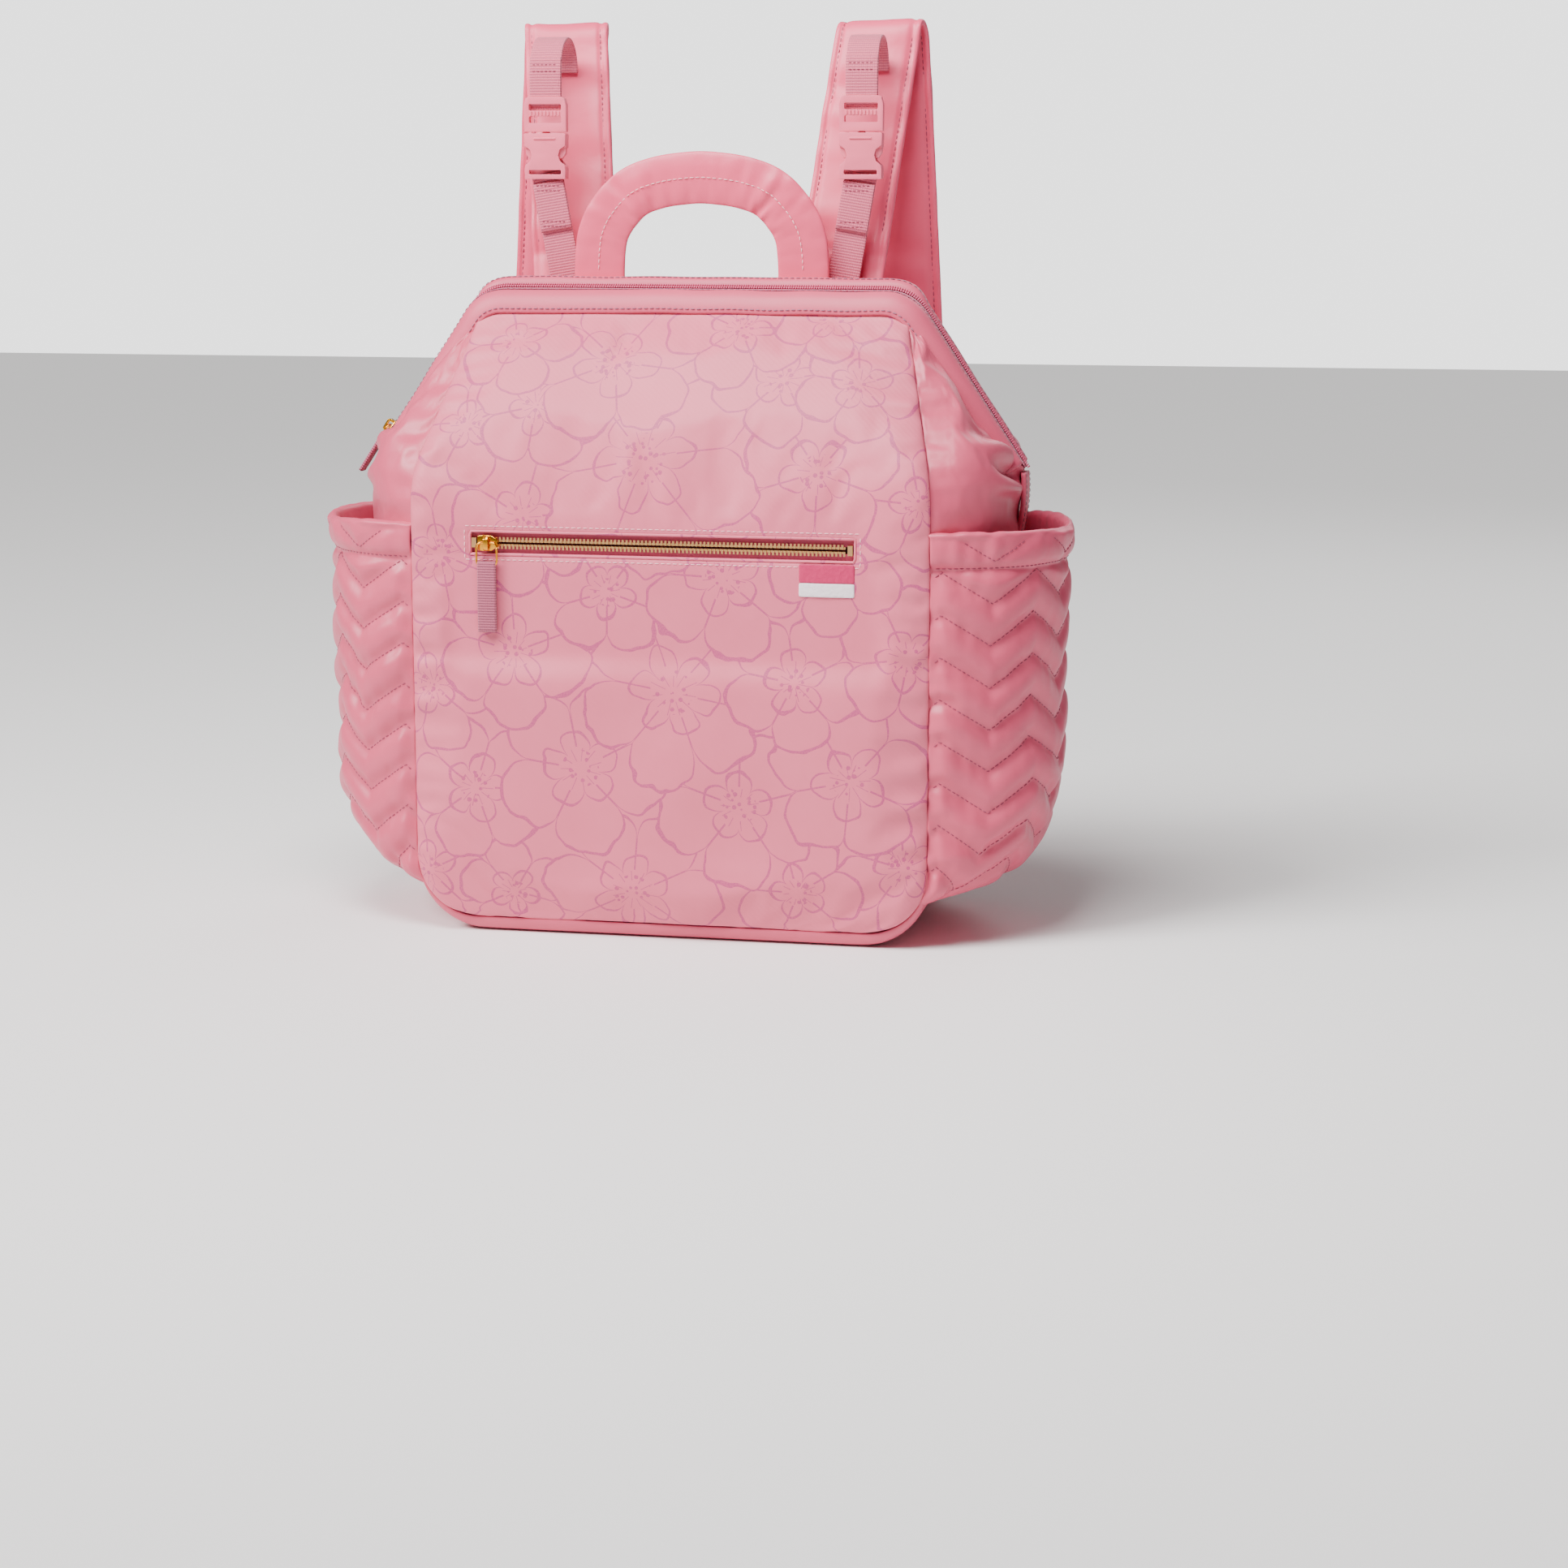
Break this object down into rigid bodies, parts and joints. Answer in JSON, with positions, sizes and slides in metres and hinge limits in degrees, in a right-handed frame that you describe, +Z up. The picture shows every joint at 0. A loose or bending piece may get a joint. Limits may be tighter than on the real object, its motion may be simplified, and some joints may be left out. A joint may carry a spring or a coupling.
{
  "type": "diaper bag",
  "caption": "Wide-mouth frame-top diaper backpack with zipped front pocket, quilted side pockets, carry handle, padded straps and buckled loops for a pushchair bar.",
  "frame": {"origin": "middle of the bag's overall box, on the plane the base rests on", "axes": "+Z up to the bar loops, -Y out of the front panel, +X to the right of a person who faces the front panel"},
  "size_m": [0.472, 0.1883, 0.5581],
  "materials": {
    "print_twill": "padded printed polyester twill",
    "satin": "quilted polyester satin, soft sheen",
    "strap_satin": "padded polyester satin",
    "coated_band": "smooth coated fabric with top stitching",
    "zip_tape": "woven zip tape and nylon coil",
    "webbing": "ribbed woven webbing",
    "buckle_resin": "moulded acetal",
    "gold_metal": "plated die-cast zinc",
    "teeth_metal": "pale plated metal teeth",
    "wire_steel": "spring wire",
    "soft_tip": "vinyl tip",
    "foam": "foam sheet",
    "board": "stiffener board",
    "elastic": "knitted elastic",
    "label_cloth": "woven label"
  },
  "bodies": {
    "bag": {"front_panel": "print_twill", "back_panel": "satin", "back_panel_upper": "satin", "back_foam": "foam", "base_panel": "satin", "base_board": "board", "rear_frame_wire": "wire_steel", "rear_wire_tips": "soft_tip", "rear_frame_band": "coated_band", "main_zip_rear": "zip_tape", "pocket_zip_tape": "zip_tape", "pocket_zip_teeth": "teeth_metal", "pocket_zip_stops": "teeth_metal", "pocket_pouch": "satin", "side_label": "label_cloth", "gusset_left": "satin", "upper_gusset_rear_left": "satin", "side_pocket_left": "satin", "pocket_elastic_left": "elastic", "zip_end_tab_left": "coated_band", "shoulder_strap_left": "strap_satin", "strap_webbing_left": "webbing", "loop_webbing_lower_left": "webbing", "loop_webbing_upper_left": "webbing", "buckle_socket_left": "buckle_resin", "buckle_plug_left": "buckle_resin", "gusset_right": "satin", "upper_gusset_rear_right": "satin", "side_pocket_right": "satin", "pocket_elastic_right": "elastic", "zip_end_tab_right": "coated_band", "shoulder_strap_right": "strap_satin", "strap_webbing_right": "webbing", "loop_webbing_lower_right": "webbing", "loop_webbing_upper_right": "webbing", "buckle_socket_right": "buckle_resin", "buckle_plug_right": "buckle_resin"},
    "front_frame": {"front_frame_band": "coated_band", "front_frame_wire": "wire_steel", "front_wire_tips": "soft_tip", "main_zip_front": "zip_tape", "front_panel_upper": "print_twill", "upper_gusset_front_left": "satin", "upper_gusset_front_right": "satin"},
    "main_slider": {"main_slider": "gold_metal"},
    "main_pull": {"main_pull": "webbing"},
    "pocket_slider": {"pocket_slider": "gold_metal"},
    "pocket_pull": {"pocket_pull_ring": "gold_metal", "pocket_pull_tab": "webbing"},
    "handle": {"carry_handle": "strap_satin", "handle_foam": "foam"},
    "adjuster_left": {"strap_adjuster_left": "buckle_resin"},
    "prong_left_outer": {"prong_left_outer": "buckle_resin"},
    "prong_left_inner": {"prong_left_inner": "buckle_resin"},
    "adjuster_right": {"strap_adjuster_right": "buckle_resin"},
    "prong_right_outer": {"prong_right_outer": "buckle_resin"},
    "prong_right_inner": {"prong_right_inner": "buckle_resin"}
  },
  "joints": [
    {"name": "front_frame_open", "type": "hinge", "parent": "bag", "child": "front_frame", "pos_m": [0, 0, 0.283], "axis": [1, 0, 0], "range_deg": [0, 40], "deforming": ["front_panel_upper", "upper_gusset_front_left", "upper_gusset_front_right"]},
    {"name": "main_zip_slide", "type": "slide", "parent": "bag", "child": "main_slider", "axis": [0.553, 0, 0.8332], "range_m": [0, 0.084]},
    {"name": "main_pull_swing", "type": "hinge", "parent": "main_slider", "child": "main_pull", "pos_m": [-0.20045, 0, 0.30607], "axis": [0, 1, 0], "range_deg": [0, 110]},
    {"name": "pocket_zip_slide", "type": "slide", "parent": "bag", "child": "pocket_slider", "axis": [1, 0, 0], "range_m": [0, 0.214]},
    {"name": "pocket_pull_swing", "type": "hinge", "parent": "pocket_slider", "child": "pocket_pull", "pos_m": [-0.1104, -0.0918, 0.243], "axis": [-1, 0, 0], "range_deg": [0, 110]},
    {"name": "handle_fold", "type": "hinge", "parent": "bag", "child": "handle", "pos_m": [0, 0.014, 0.397], "axis": [1, 0, 0], "range_deg": [0, 75]},
    {"name": "adjuster_left_slide", "type": "slide", "parent": "bag", "child": "adjuster_left", "axis": [0, 0, 1], "range_m": [-0.018, 0.009]},
    {"name": "prong_left_outer_flex", "type": "hinge", "parent": "bag", "child": "prong_left_outer", "pos_m": [-0.1087, 0.0192, 0.4878], "axis": [0, -1, 0], "range_deg": [0, 10], "stiffness_Nm_per_rad": 0.02},
    {"name": "prong_left_inner_flex", "type": "hinge", "parent": "bag", "child": "prong_left_inner", "pos_m": [-0.0913, 0.0192, 0.4878], "axis": [0, 1, 0], "range_deg": [0, 10], "stiffness_Nm_per_rad": 0.02},
    {"name": "adjuster_right_slide", "type": "slide", "parent": "bag", "child": "adjuster_right", "axis": [0, 0, 1], "range_m": [-0.018, 0.009]},
    {"name": "prong_right_outer_flex", "type": "hinge", "parent": "bag", "child": "prong_right_outer", "pos_m": [0.1087, 0.0192, 0.4878], "axis": [0, 1, 0], "range_deg": [0, 10], "stiffness_Nm_per_rad": 0.02},
    {"name": "prong_right_inner_flex", "type": "hinge", "parent": "bag", "child": "prong_right_inner", "pos_m": [0.0913, 0.0192, 0.4878], "axis": [0, -1, 0], "range_deg": [0, 10], "stiffness_Nm_per_rad": 0.02}
  ]
}
